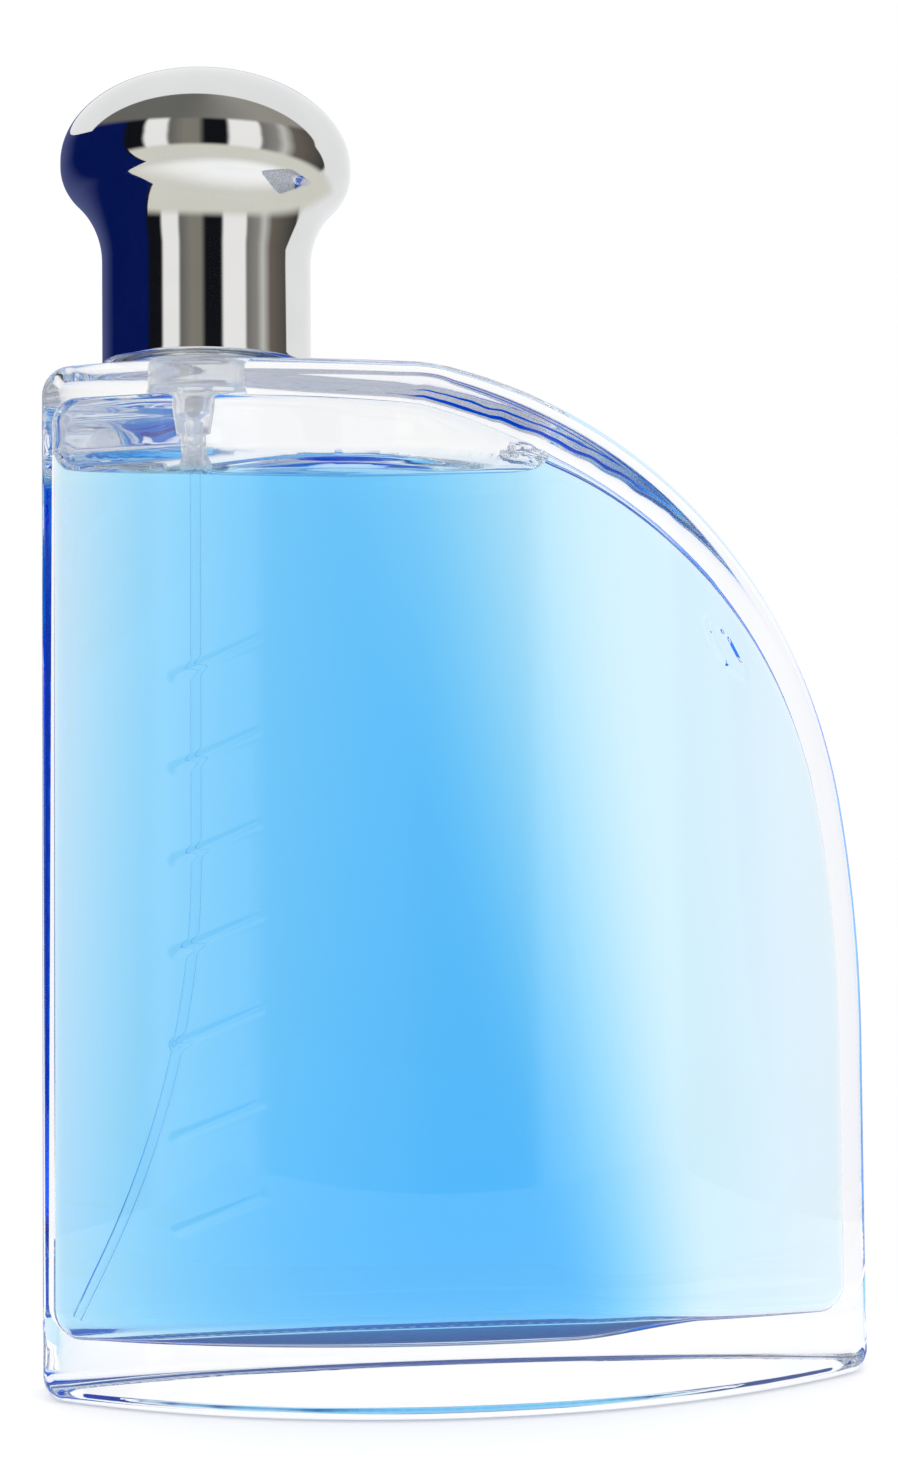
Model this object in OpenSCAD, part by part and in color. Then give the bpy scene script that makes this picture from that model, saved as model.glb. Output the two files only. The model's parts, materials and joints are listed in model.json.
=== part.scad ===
// Sail-shaped glass bottle for aftershave, with a crimped spray pump and a mushroom-shaped pull-off cap.
// Millimetres, +Z up. The origin is on the table under the centre of the bottle. The front faces -Y.

/* [Glass body] */
// Width of the glass across the flat narrow sides
glass_w = 86; // [80:1:92]
// Thickness front to back at the base, on the thickest line
base_depth = 33.2; // [32:0.2:35]
// Thickness front to back at the shoulder, on the thickest line
shoulder_depth = 30; // [29:0.2:31]
// Radius of the front and back faces seen from above, at the base
face_r = 80; // [78:1:84]
// How far right of centre the thickest line runs
thick_line_x = 1; // [0:0.5:2]
// Thickness of the front and back walls on the thickest line
face_wall = 6; // [5.6:0.1:6.4]
// Radius of the hollow's front and back faces seen from above, at the base
hollow_r = 120; // [118:1:130]
// Thickness of the walls along the right side and the top
side_wall = 3.3; // [3:0.1:3.6]
// Thickness of the left wall
left_wall = 1.6; // [1.5:0.1:2]
// Thickness of the glass floor
glass_floor = 6; // [5:0.1:7]
// Depth of the hollow under the base
base_hollow = 0.6; // [0.3:0.1:0.8]

/* [Sail outline] */
// Height at which the straight right side starts to lean in
flank_start = 35; // [33:0.5:36]
// Radius of the right flank
flank_r = 130; // [125:1:135]
// Radius of the main sweep of the sail
sweep_r = 56.5; // [55:0.5:58]
// Radius of the turn into the shoulder
shoulder_r = 22.5; // [20:0.5:25]
// Steepness of the outline where the flank meets the sweep, in degrees
flank_angle = 79; // [78:0.5:80]
// Steepness of the outline where the sweep meets the shoulder turn, in degrees
sweep_angle = 13.8; // [12:0.1:16]
// Slope of the shoulder right of the neck, in degrees
shoulder_slope = 2.6; // [2:0.1:3]
// Height of the level top left of the neck above the shoulder at the neck
level_rise = 0.2; // [0.1:0.05:0.3]
// Radius of the top left corner
top_corner_r = 3; // [2:0.5:3.5]
// Radius of the two bottom corners, seen from the front
heel_r = 2.5; // [2:0.5:3]

/* [Neck] */
// Distance of the neck left of centre
neck_offset = 26; // [25:0.5:27]
// Radius of the lip that the ferrule is crimped round
lip_r = 7.5; // [7.4:0.1:7.6]
// Radius of the neck under the lip
throat_r = 6.6; // [6.4:0.1:6.8]
// Radius of the hole through the neck
neck_bore_r = 4.9; // [4.8:0.1:5]
// Height of the neck above the shoulder
neck_h = 9.5; // [9.4:0.1:9.6]
// Height of the lip
lip_h = 4; // [3.8:0.1:4]

/* [Filling] */
// Height of the liquid's surface above the table
fill_z = 94.5; // [80:0.5:95]

/* [Dip tube] */
// Outer radius of the dip tube
tube_r = 0.65; // [0.6:0.025:0.7]
// Radius of the dip tube's hole
tube_bore_r = 0.4; // [0.35:0.05:0.45]
// Height at which the tube starts to bend
tube_bend_z = 54; // [52:0.5:56]
// Radius of the tube's bend
tube_bend_r = 90; // [85:1:95]
// Angle of the tube's bend, in degrees
tube_bend = 27; // [24:3:27]
// Length of the tube's straight end
tube_end_l = 6; // [4:0.5:6]

/* [Pump] */
// Travel of the button
stroke = 4; // [3.5:0.1:4]
// Radius of the pump's chamber
chamber_r = 2.9; // [2.88:0.01:2.92]
// Outer radius of the stem
stem_r = 1.6; // [1.58:0.01:1.62]
// Radius of the inlet ball
ball_r = 1; // [0.95:0.05:1]

/* [Cap] */
// Radius of the cap's straight sleeve
sleeve_r = 10.85; // [10.6:0.05:11.2]
// Radius of the cap's head
head_r = 15.1; // [14.8:0.1:15.4]
// Height of the cap's highest point above the shoulder
cap_h = 31.1; // [31:0.1:32]
// Height of the domed upper part of the head
dome_h = 9.5; // [9.4:0.1:10]
// Radius of the head's rounded underside
bulb_r = 4.4; // [4:0.1:4.8]
// Radius of the hollow curve between head and sleeve
waist_r = 9; // [8:0.5:10]

/* [Hidden] */
$fn = 96;

half_w = glass_w / 2;
half_depth = base_depth / 2;
face_taper = (base_depth - shoulder_depth) / 2;
arc_step = 3;             // degrees between the points of an arc
neck_x = -neck_offset;

// Centres of the outline's arcs: each arc meets the next at one common tangent.
flank_c = [half_w - flank_r, flank_start];
sweep_c = flank_c + (flank_r - sweep_r) * heading(90 - flank_angle);
shoulder_c = sweep_c + (sweep_r - shoulder_r) * heading(90 - sweep_angle);
shoulder_end = shoulder_c + shoulder_r * heading(90 - shoulder_slope);
shoulder_z = shoulder_end[1] + (shoulder_end[0] - neck_x) * tan(shoulder_slope);
lip_z = shoulder_z + neck_h;

// Heights inside the pump are measured from the top of the glass lip.
tail_end_z = lip_z - 17.6;
socket_top_z = lip_z - 15.4;
seat_z = lip_z - 15.1;
cage_z = seat_z + 0.7;
cage_lip_z = lip_z - 12.6;
chamber_floor_z = lip_z - 12.3;
pin_head_z = lip_z - 6.1;
pin_seat_z = lip_z - 5.5;
piston_top_z = lip_z - 3;
stem_foot_z = lip_z - 2.3;
stem_stop_z = lip_z - 1;
gasket_seat_z = lip_z - 0.4;
turret_foot_z = lip_z + 0.1;
flange_z = lip_z + 0.8;
flange_top_z = lip_z + 1.5;
ferrule_in_z = lip_z + 2.1;
ferrule_top_z = lip_z + 2.5;
button_z = ferrule_top_z + stroke + 0.3;
stem_top_z = button_z + 4.5;
nozzle_z = button_z + 5.9;
button_top_z = button_z + 9.4;
level_z = shoulder_z + level_rise;
cap_foot_z = level_z + 0.3;
cap_ceiling_z = button_top_z + 2.1;

running_gap = 0.05;
shell_t = 0.45;           // sheet thickness of the button's metal skin
button_r = 6.35;
shell_r = button_r + running_gap + shell_t;
ferrule_r = 8.1;
ferrule_t = 0.4;
collar_r = 8.5;
collar_t = 0.35;
liner_r = 9.6;

function heading(a) = [cos(a), sin(a)];

// Points of an arc about c from angle a0 to angle a1.
function arc(c, r, a0, a1) =
    let (n = max(2, ceil(abs(a1 - a0) / arc_step)))
    [for (i = [0:n]) c + r * heading(a0 + (a1 - a0) * i / n)];

// The sail outline seen from the front, moved inwards by inset, and by left_inset on its left side.
// It stands on floor_z and has bottom corners of corner_r.
function sail(inset, left_inset, floor_z, corner_r, top_r) =
    let (
        left = left_inset - half_w,
        right = half_w - inset,
        slope_end = shoulder_c + (shoulder_r - inset) * heading(90 - shoulder_slope),
        top_z = level_z - inset,
        level_end_x = slope_end[0] - (top_z - slope_end[1]) / tan(shoulder_slope)
    )
    concat(
        arc([left + corner_r, floor_z + corner_r], corner_r, 180, 270),
        arc([right - corner_r, floor_z + corner_r], corner_r, 270, 360),
        arc(flank_c, flank_r - inset, 0, 90 - flank_angle),
        arc(sweep_c, sweep_r - inset, 90 - flank_angle, 90 - sweep_angle),
        arc(shoulder_c, shoulder_r - inset, 90 - sweep_angle, 90 - shoulder_slope),
        [[level_end_x, top_z]],
        arc([left + top_r, top_z - top_r], top_r, 90, 180)
    );

// The sail outline given depth from front to back.
module sail_block(inset, left_inset, floor_z, corner_r, top_r) {
    rotate([90, 0, 0])
        linear_extrude(height = 2 * base_depth, center = true)
            polygon(sail(inset, left_inset, floor_z, corner_r, top_r));
}

// The space between two faces of radius r that stand depth in front of and behind the middle.
// Both faces lean in upwards.
module between_faces(r, depth) {
    rise = shoulder_z + 10;
    narrowing = face_taper * rise / shoulder_z;
    intersection_for (side = [-1, 1])
        translate([thick_line_x, side * (r - depth), 0])
            cylinder(r1 = r, r2 = r - narrowing, h = rise, $fn = 360);
}

// A turned piece on the neck's axis, from points of radius and height.
module turned(points) {
    translate([neck_x, 0, 0])
        rotate_extrude()
            polygon(points);
}

// A hole or rod on the neck's axis.
module on_axis(r, z0, z1) {
    translate([neck_x, 0, z0])
        cylinder(r = r, h = z1 - z0);
}

// The hollow of the bottle, made smaller all round by shrink.
module cavity(shrink) {
    foot_r = 3;
    top_r = 2;
    intersection() {
        sail_block(side_wall + shrink, left_wall + shrink, glass_floor + shrink, foot_r, top_r);
        between_faces(hollow_r, half_depth - face_wall - shrink);
    }
}

module glass_bottle() {
    edge = 0.5;           // rounding of the lip, as a chamfer
    color("azure", 0.4)
        difference() {
            union() {
                intersection() {
                    sail_block(0, 0, 0, heel_r, top_corner_r);
                    between_faces(face_r, half_depth);
                }
                turned([
                    [0, shoulder_z - side_wall], [throat_r, shoulder_z - side_wall],
                    [throat_r, lip_z - lip_h], [lip_r, lip_z - lip_h + edge],
                    [lip_r, lip_z - edge], [lip_r - edge, lip_z], [0, lip_z]
                ]);
            }
            cavity(0);
            on_axis(neck_bore_r, shoulder_z - side_wall - 2, lip_z + 1);
            base_pocket();
        }
}

// The shallow hollow under the base, which leaves a flat ring to stand on.
module base_pocket() {
    ring = 4;
    translate([0, 0, -1])
        linear_extrude(height = 1 + base_hollow)
            intersection() {
                lens_outline(ring);
                square([glass_w - 4 * ring, base_depth], center = true);
            }
}

// The plan of the bottle at the base, moved inwards by inset.
module lens_outline(inset) {
    intersection_for (side = [-1, 1])
        translate([thick_line_x, side * (face_r - half_depth)])
            circle(r = face_r - inset, $fn = 360);
}

module aftershave_fill() {
    skin = 0.02;          // keeps the liquid's faces off the glass
    color("deepskyblue", 0.5)
        difference() {
            intersection() {
                cavity(skin);
                translate([-half_w, -half_depth, 0])
                    cube([glass_w, base_depth, fill_z]);
            }
            swept_rod(tube_r + skin, 1);
        }
}

// The dip tube's route as places and leans: straight down, one bend to the left, and a straight end.
function tube_route(extra) =
    let (
        bend_c = [neck_x - tube_bend_r, tube_bend_z],
        bend_end = bend_c + tube_bend_r * heading(-tube_bend)
    )
    concat(
        [[neck_x, socket_top_z + extra, 0]],
        [for (a = [0:arc_step:tube_bend]) concat(bend_c + tube_bend_r * heading(-a), a)],
        [concat(bend_end - (tube_end_l + extra) * heading(90 - tube_bend), tube_bend)]
    );

// Points of a ring round each place of a route.
function rings(route, r, sides) = [
    for (stop = route) for (j = [0:sides - 1])
        let (across = r * cos(360 * j / sides), away = r * sin(360 * j / sides))
        [stop[0] + across * cos(stop[2]), away, stop[1] - across * sin(stop[2])]
];

// Faces between neighbouring rings, counted from point number start.
function ring_walls(count, sides, start) = [
    for (i = [0:count - 2]) for (j = [0:sides - 1])
        let (a = start + i * sides + j, b = start + i * sides + (j + 1) % sides)
        [a, a + sides, b + sides, b]
];

module swept_rod(r, extra) {
    sides = 12;
    route = tube_route(extra);
    count = len(route);
    top = [for (j = [0:sides - 1]) j];
    foot = [for (j = [sides - 1:-1:0]) (count - 1) * sides + j];
    polyhedron(
        points = rings(route, r, sides),
        faces = [for (f = concat(ring_walls(count, sides, 0), [top], [foot])) reversed(f)],
        convexity = 6
    );
}

function reversed(list) = [for (i = [len(list) - 1:-1:0]) list[i]];

module dip_tube() {
    sides = 12;
    route = tube_route(0);
    count = len(route);
    inner = count * sides;
    ends = [for (i = [0, count - 1]) for (j = [0:sides - 1])
        let (a = i * sides + j, b = i * sides + (j + 1) % sides)
        i == 0 ? [a, b, b + inner, a + inner] : [a, a + inner, b + inner, b]
    ];
    color("white", 0.7)
        polyhedron(
            points = concat(rings(route, tube_r, sides), rings(route, tube_bore_r, sides)),
            faces = [for (f = concat(
                ring_walls(count, sides, 0),
                [for (w = ring_walls(count, sides, inner)) reversed(w)],
                ends
            )) reversed(f)],
            convexity = 6
        );
}

module pump_housing() {
    socket_r = tube_r + 0.025;
    foot_z = chamber_floor_z - 0.6;
    cage_r = ball_r + 0.2;
    cage_lip_r = ball_r - 0.15;
    color("whitesmoke")
        turned([
            [socket_r, tail_end_z], [1.25, tail_end_z], [1.25, tail_end_z + 0.8],
            [1.7, tail_end_z + 0.8], [2.3, foot_z], [3.6, foot_z], [3.6, foot_z + 3],
            [4.4, foot_z + 3.4], [4.4, flange_z],
            [7.2, flange_z], [7.2, flange_top_z], [3.5, flange_top_z],
            [3.5, gasket_seat_z], [chamber_r, gasket_seat_z], [chamber_r, chamber_floor_z],
            [cage_lip_r, chamber_floor_z], [cage_lip_r, cage_lip_z], [cage_r, cage_lip_z],
            [cage_r, cage_z], [cage_r - 0.7, seat_z], [cage_r - 0.7, socket_top_z],
            [socket_r, socket_top_z]
        ]);
}

module inlet_ball() {
    // The ball rests on the 45 degree seat, whose point lies seat_hole_r under the seat's small end.
    seat_hole_r = ball_r - 0.5;
    color("silver")
        translate([neck_x, 0, seat_z - seat_hole_r + ball_r * sqrt(2) + 0.02])
            sphere(r = ball_r);
}

// A coil spring with closed ends, swept as rings of points along its wire.
module coil_spring(coil_r, wire_r, z0, z1, turns) {
    steps = 18;           // rings in each turn
    sides = 8;
    ring_count = turns * steps;
    rise = z1 - z0 - 2 * wire_r;
    end_pitch = 2.1 * wire_r;
    ease = 1 - end_pitch * turns / rise;
    points = [for (i = [0:ring_count])
        let (
            t = i / ring_count,
            turn = 360 * turns * t,
            z = z0 + wire_r + rise * (t - ease * sin(360 * t) / 360 * 180 / PI)
        )
        for (j = [0:sides - 1])
            let (r = coil_r + wire_r * cos(360 * j / sides))
            [r * cos(turn), r * sin(turn), z + wire_r * sin(360 * j / sides)]
    ];
    walls = [for (i = [0:ring_count - 1]) for (j = [0:sides - 1])
        let (a = i * sides + j, b = i * sides + (j + 1) % sides)
        [a, b, b + sides, a + sides]
    ];
    first = [for (j = [sides - 1:-1:0]) j];
    last = [for (j = [0:sides - 1]) ring_count * sides + j];
    translate([neck_x, 0, 0])
        polyhedron(points = points, faces = concat(walls, [first], [last]), convexity = 10);
}

module return_spring() {
    color("lightgray")
        coil_spring(2.05, 0.17, chamber_floor_z, pin_head_z, 5);
}

module preload_spring() {
    color("lightgray")
        coil_spring(2.05, 0.14, piston_top_z, stem_stop_z, 3);
}

module valve_pin() {
    groove_w = 0.4;
    color("white")
        difference() {
            turned([
                [0, pin_head_z - 0.6], [1.5, pin_head_z - 0.6], [1.5, pin_head_z],
                [2.2, pin_head_z], [2.2, pin_seat_z], [2, pin_seat_z],
                [1.1, pin_seat_z + 0.79], [1.1, stem_foot_z], [0.95, stem_foot_z],
                [0.95, stem_foot_z + 1.3], [0, stem_foot_z + 1.3]
            ]);
            translate([neck_x + 0.65, -groove_w / 2, pin_seat_z + 1.1])
                cube([1, groove_w, 5]);
        }
}

module piston() {
    lip_out = chamber_r - running_gap;
    waist_in = 2.55;
    bore = 1.15;
    color("ivory")
        turned([
            [bore, pin_seat_z + 0.8], [1.95, pin_seat_z + 0.1], [lip_out, pin_seat_z + 0.1],
            [lip_out, pin_seat_z + 0.6], [waist_in, pin_seat_z + 0.9],
            [waist_in, piston_top_z - 0.8], [lip_out, piston_top_z - 0.5],
            [lip_out, piston_top_z], [bore, piston_top_z]
        ]);
}

module pump_stem() {
    plug_bore_r = 1;
    stem_bore_r = 0.6;
    color("white")
        turned([
            [plug_bore_r, stem_foot_z], [1.5, stem_foot_z], [1.5, stem_stop_z],
            [2.6, stem_stop_z], [2.6, gasket_seat_z - 0.01], [stem_r, gasket_seat_z - 0.01],
            [stem_r, stem_top_z], [stem_bore_r, stem_top_z], [stem_bore_r, stem_foot_z + 1.5],
            [plug_bore_r, stem_foot_z + 1.5]
        ]);
}

module stem_gasket() {
    color("dimgray")
        turned([
            [stem_r + 0.1, gasket_seat_z], [3.45, gasket_seat_z],
            [3.45, turret_foot_z], [stem_r + 0.1, turret_foot_z]
        ]);
}

module turret() {
    bore = stem_r + running_gap;
    color("white")
        turned([
            [bore, turret_foot_z], [3.45, turret_foot_z], [3.45, flange_top_z],
            [7, flange_top_z], [7, ferrule_in_z], [3.4, ferrule_in_z],
            [3.4, ferrule_top_z + 0.5], [bore, ferrule_top_z + 0.5]
        ]);
}

module neck_gasket() {
    color("dimgray")
        turned([[neck_bore_r + 0.1, lip_z], [7.4, lip_z], [7.4, flange_z], [neck_bore_r + 0.1, flange_z]]);
}

// The thin metal cup that clamps the pump onto the glass, rolled in under the lip.
module crimp_ferrule() {
    hole_r = 3.5;
    roll_r = throat_r + 0.4;
    roll_z = lip_z - lip_h - 0.7;
    edge = 0.6;
    color("silver")
        turned([
            [roll_r, roll_z], [ferrule_r - edge, roll_z], [ferrule_r, roll_z + edge],
            [ferrule_r, ferrule_top_z - edge], [ferrule_r - edge, ferrule_top_z],
            [hole_r, ferrule_top_z], [hole_r, ferrule_in_z],
            [ferrule_r - edge, ferrule_in_z], [ferrule_r - ferrule_t, ferrule_in_z - 0.2],
            [ferrule_r - ferrule_t, lip_z - lip_h + 0.4], [ferrule_r - edge, lip_z - lip_h - 0.3],
            [roll_r, lip_z - lip_h - 0.3]
        ]);
}

// The decorative ring round the ferrule, which the cap's liner grips.
module collar_ring() {
    foot_z = level_z + 0.1;
    top_z = button_z + 0.2;
    lip_in = shell_r + 0.3;
    lip_t = 0.6;
    edge = 0.3;
    color("silver")
        turned([
            [collar_r - collar_t, foot_z], [collar_r, foot_z], [collar_r, top_z - edge],
            [collar_r - edge, top_z], [lip_in, top_z], [lip_in, top_z - lip_t],
            [collar_r - collar_t, top_z - lip_t]
        ]);
}

// The plastic button with its stem socket, its channels and the recess for the nozzle.
module actuator_button() {
    socket_r = stem_r + 0.03;
    edge = 0.5;
    skirt_in = 5.2;
    boss_r = 2.9;
    boss_z = button_z + 0.8;
    web_z = button_z + 2.6;
    top_z = button_top_z - shell_t - running_gap;
    color("white")
        difference() {
            turned([
                [skirt_in, button_z], [button_r, button_z], [button_r, top_z - edge],
                [button_r - edge, top_z], [0, top_z], [0, stem_top_z + 0.2],
                [socket_r, stem_top_z + 0.2], [socket_r, boss_z], [boss_r, boss_z],
                [boss_r, web_z], [skirt_in, web_z]
            ]);
            on_axis(0.6, stem_top_z, nozzle_z + 2.2);
            translate([neck_x, -3.6, nozzle_z + 1.7])
                rotate([-90, 0, 0])
                    cylinder(r = 0.45, h = 3.6, $fn = 32);
            nozzle_recess(2.2);
        }
}

// The ring-shaped recess in the button's front, with the post that the nozzle's cup sits over.
module nozzle_recess(r) {
    post_r = 1.2;
    depth = 3;
    difference() {
        nozzle_rod(r, button_r - depth, button_r + 1);
        nozzle_rod(post_r, button_r - depth - 1, button_r - 0.8);
    }
}

// A rod along the spray direction, from distance d0 to distance d1 in front of the neck's axis.
module nozzle_rod(r, d0, d1) {
    translate([neck_x, -d0, nozzle_z])
        rotate([90, 0, 0])
            cylinder(r = r, h = d1 - d0, $fn = 48);
}

module nozzle_insert() {
    front = shell_r - 0.1;
    color("white")
        difference() {
            nozzle_rod(2.15, button_r - 2.9, front);
            nozzle_rod(1.25, button_r - 3, button_r - 0.7);
            nozzle_rod(0.15, button_r - 1, front + 1);
        }
}

module actuator_shell() {
    edge = 0.8;
    inner_r = shell_r - shell_t;
    color("silver")
        difference() {
            turned([
                [inner_r, button_z], [shell_r, button_z], [shell_r, button_top_z - edge],
                [shell_r - 0.25, button_top_z - 0.25], [shell_r - edge, button_top_z],
                [0, button_top_z], [0, button_top_z - shell_t],
                [inner_r - 0.45, button_top_z - shell_t], [inner_r, button_top_z - shell_t - 0.45]
            ]);
            nozzle_rod(2.4, inner_r - 1, shell_r + 1);
        }
}

module cap_liner() {
    grip_r = collar_r + 0.08;
    foot_z = cap_foot_z + 0.3;
    top_z = cap_ceiling_z;
    lead = 0.5;
    color("white")
        turned([
            [grip_r + lead, foot_z], [liner_r, foot_z], [liner_r, top_z], [0, top_z],
            [0, top_z - 1], [grip_r, top_z - 1], [grip_r, foot_z + lead]
        ]);
}

// The outside of the cap: an elliptical dome, a round underside and a hollow waist down to the sleeve.
function cap_profile() =
    let (
        equator_z = shoulder_z + cap_h - dome_h,
        bulb_c = [head_r - bulb_r, equator_z - 0.5],
        waist_x = sleeve_r + waist_r,
        reach = bulb_r + waist_r,
        waist_c = [waist_x, bulb_c[1] - sqrt(reach * reach - pow(waist_x - bulb_c[0], 2))],
        lean = atan2(bulb_c[1] - waist_c[1], waist_x - bulb_c[0])
    )
    concat(
        arc(waist_c, waist_r, 180, 180 - lean),
        arc(bulb_c, bulb_r, -lean, 0),
        [for (a = [0:arc_step:90]) [head_r * cos(a), equator_z + dome_h * sin(a)]]
    );

module cap_shell() {
    bore_r = liner_r + running_gap;
    color("gainsboro")
        turned(concat(
            [[bore_r, cap_foot_z], [sleeve_r - 0.2, cap_foot_z], [sleeve_r, cap_foot_z + 0.2]],
            cap_profile(),
            [[0, cap_ceiling_z + 0.05], [bore_r, cap_ceiling_z + 0.05]]
        ));
}

glass_bottle();
aftershave_fill();
dip_tube();
pump_housing();
inlet_ball();
return_spring();
valve_pin();
piston();
preload_spring();
pump_stem();
stem_gasket();
turret();
neck_gasket();
crimp_ferrule();
collar_ring();
actuator_button();
actuator_shell();
nozzle_insert();
cap_liner();
cap_shell();
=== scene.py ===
"""The looks of a sail-shaped aftershave bottle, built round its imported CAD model."""
import json
import math

import bmesh
import bpy
import numpy as np
from mathutils import Matrix, Vector
from mathutils.geometry import delaunay_2d_cdt


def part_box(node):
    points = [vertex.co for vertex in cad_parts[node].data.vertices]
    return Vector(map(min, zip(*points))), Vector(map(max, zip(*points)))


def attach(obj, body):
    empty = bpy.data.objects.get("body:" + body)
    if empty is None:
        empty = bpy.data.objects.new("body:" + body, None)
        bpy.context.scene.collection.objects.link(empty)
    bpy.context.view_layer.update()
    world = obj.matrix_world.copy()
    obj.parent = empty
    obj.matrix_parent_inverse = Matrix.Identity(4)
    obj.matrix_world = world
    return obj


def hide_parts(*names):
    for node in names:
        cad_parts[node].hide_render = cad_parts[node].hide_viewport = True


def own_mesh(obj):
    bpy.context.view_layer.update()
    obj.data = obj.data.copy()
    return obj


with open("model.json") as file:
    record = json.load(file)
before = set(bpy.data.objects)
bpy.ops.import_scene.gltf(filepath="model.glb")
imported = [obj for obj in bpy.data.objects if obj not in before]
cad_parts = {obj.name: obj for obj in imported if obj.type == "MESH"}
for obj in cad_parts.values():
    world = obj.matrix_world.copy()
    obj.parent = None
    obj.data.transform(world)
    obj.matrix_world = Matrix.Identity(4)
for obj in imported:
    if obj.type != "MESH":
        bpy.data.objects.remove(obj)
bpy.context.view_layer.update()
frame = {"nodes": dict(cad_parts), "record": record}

# ---------------------------------------------------------------- sizes, in millimetres
MM = 0.001


def corners_mm(node):
    """Lowest and highest corner of a CAD node, in millimetres."""
    low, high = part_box(node)
    return np.array(low) / MM, np.array(high) / MM


_, glass_high = corners_mm("glass_bottle")
housing_low, housing_high = corners_mm("pump_housing")
collar_low, collar_high = corners_mm("collar_ring")
_, skin_high = corners_mm("actuator_shell")
cap_low, cap_high = corners_mm("cap_shell")
_, liner_high = corners_mm("cap_liner")
_, fill_high = corners_mm("aftershave_fill")

HALF_W = glass_high[0]
NECK_X = (housing_low[0] + housing_high[0]) / 2
LIP_Z = glass_high[2]
NECK_H = 9.5
LEVEL_RISE = 0.2          # height of the level top left of the neck above the shoulder
SHOULDER_Z = LIP_Z - NECK_H
LEVEL_Z = SHOULDER_Z + LEVEL_RISE
FILL_Z = fill_high[2]

# Faces: two upright cones, so that the plan is a lens.
FACE_R = 80.0
HALF_DEPTH = 16.6
FACE_TAPER = 1.6
THICK_X = 1.0
FACE_WALL = 6.0
HOLLOW_R = 120.0
SIDE_WALL = 3.3
LEFT_WALL = 1.6
FLOOR_T = 6.0
BASE_HOLLOW = 0.6
TUBE_R = 0.65
TUBE_BORE_R = 0.4

# The hollow loses a share of its depth to the right. Where that starts, and over what width it builds up, are
# given at the table and for each millimetre of height.
THIN_SHARE = 0.78
THIN_FROM, THIN_FROM_RISE = 12.0, -0.29
THIN_OVER, THIN_OVER_RISE = 14.5, 0.17

# Heights in the pump, from the top of the glass lip.
FLANGE_Z = LIP_Z + 0.8
FLANGE_TOP_Z = LIP_Z + 1.5
FERRULE_TOP_Z = LIP_Z + 2.5
CHAMBER_FLOOR_Z = LIP_Z - 12.3
SEAT_Z = LIP_Z - 15.1
SOCKET_TOP_Z = LIP_Z - 15.4

# Sail outline: arcs that meet at common tangents, as centre and radius.
FLANK_Z = 35.0
FLANK_R = 130.0
SWEEP_R = 56.5
TURN_R = 22.5
FLANK_A = 11.0            # angle of the normal where the flank meets the sweep, in degrees
SWEEP_A = 76.2
TURN_A = 87.4


def heading(angle):
    return np.array([math.cos(math.radians(angle)), math.sin(math.radians(angle))])


FLANK_C = np.array([HALF_W - FLANK_R, FLANK_Z])
SWEEP_C = FLANK_C + (FLANK_R - SWEEP_R) * heading(FLANK_A)
TURN_C = SWEEP_C + (SWEEP_R - TURN_R) * heading(SWEEP_A)
SLOPE = math.tan(math.radians(90 - TURN_A))

# ---------------------------------------------------------------- mesh helpers


def make_object(name, points, faces, material, sharp=32.0):
    """A smooth-shaded object from points in millimetres."""
    mesh = bpy.data.meshes.new(name)
    mesh.from_pydata([tuple(float(c) * MM for c in p) for p in points], [], faces)
    mesh.validate()
    obj = bpy.data.objects.new(name, mesh)
    bpy.context.scene.collection.objects.link(obj)
    mesh.materials.append(material)
    clean_normals(obj, sharp)
    return obj


def clean_normals(obj, sharp=32.0):
    mesh = obj.data
    bm = bmesh.new()
    bm.from_mesh(mesh)
    bmesh.ops.remove_doubles(bm, verts=bm.verts, dist=2e-7)
    bmesh.ops.recalc_face_normals(bm, faces=bm.faces)
    bm.to_mesh(mesh)
    bm.free()
    mesh.shade_smooth()
    mesh.set_sharp_from_angle(angle=math.radians(sharp))


def fillet(corners, steps=5):
    """A profile from (radius, height, rounding) corners, each rounded by an arc tangent to both sides."""
    out = []
    count = len(corners)
    for i, (x, y, rounding) in enumerate(corners):
        here = np.array([x, y], float)
        before = np.array(corners[i - 1][:2], float) - here
        after = np.array(corners[(i + 1) % count][:2], float) - here
        if rounding <= 0:
            out.append(here)
            continue
        a, b = before / np.linalg.norm(before), after / np.linalg.norm(after)
        half = math.acos(max(-1, min(1, float(a @ b)))) / 2
        reach = min(rounding / math.tan(half), 0.48 * np.linalg.norm(before), 0.48 * np.linalg.norm(after))
        radius = reach * math.tan(half)
        centre = here + (a + b) / np.linalg.norm(a + b) * radius / math.sin(half)
        start, end = here + a * reach - centre, here + b * reach - centre
        a0, a1 = math.atan2(start[1], start[0]), math.atan2(end[1], end[0])
        turn = (a1 - a0 + math.pi) % (2 * math.pi) - math.pi
        for k in range(steps + 1):
            angle = a0 + turn * k / steps
            out.append(centre + radius * np.array([math.cos(angle), math.sin(angle)]))
    return out


def lathe(name, profile, material, segments=128, closed=True, sharp=32.0):
    """A turned piece on the neck's axis from points of radius and height."""
    points, faces = [], []
    count = len(profile)
    for s in range(segments):
        turn = 2 * math.pi * s / segments
        for r, z in profile:
            points.append((NECK_X + max(r, 0) * math.cos(turn), max(r, 0) * math.sin(turn), z))
    for s in range(segments):
        here, there = s * count, (s + 1) % segments * count
        for k in range(count if closed else count - 1):
            n = (k + 1) % count
            faces.append((here + k, there + k, there + n, here + n))
    return make_object(name, points, faces, material, sharp)


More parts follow.
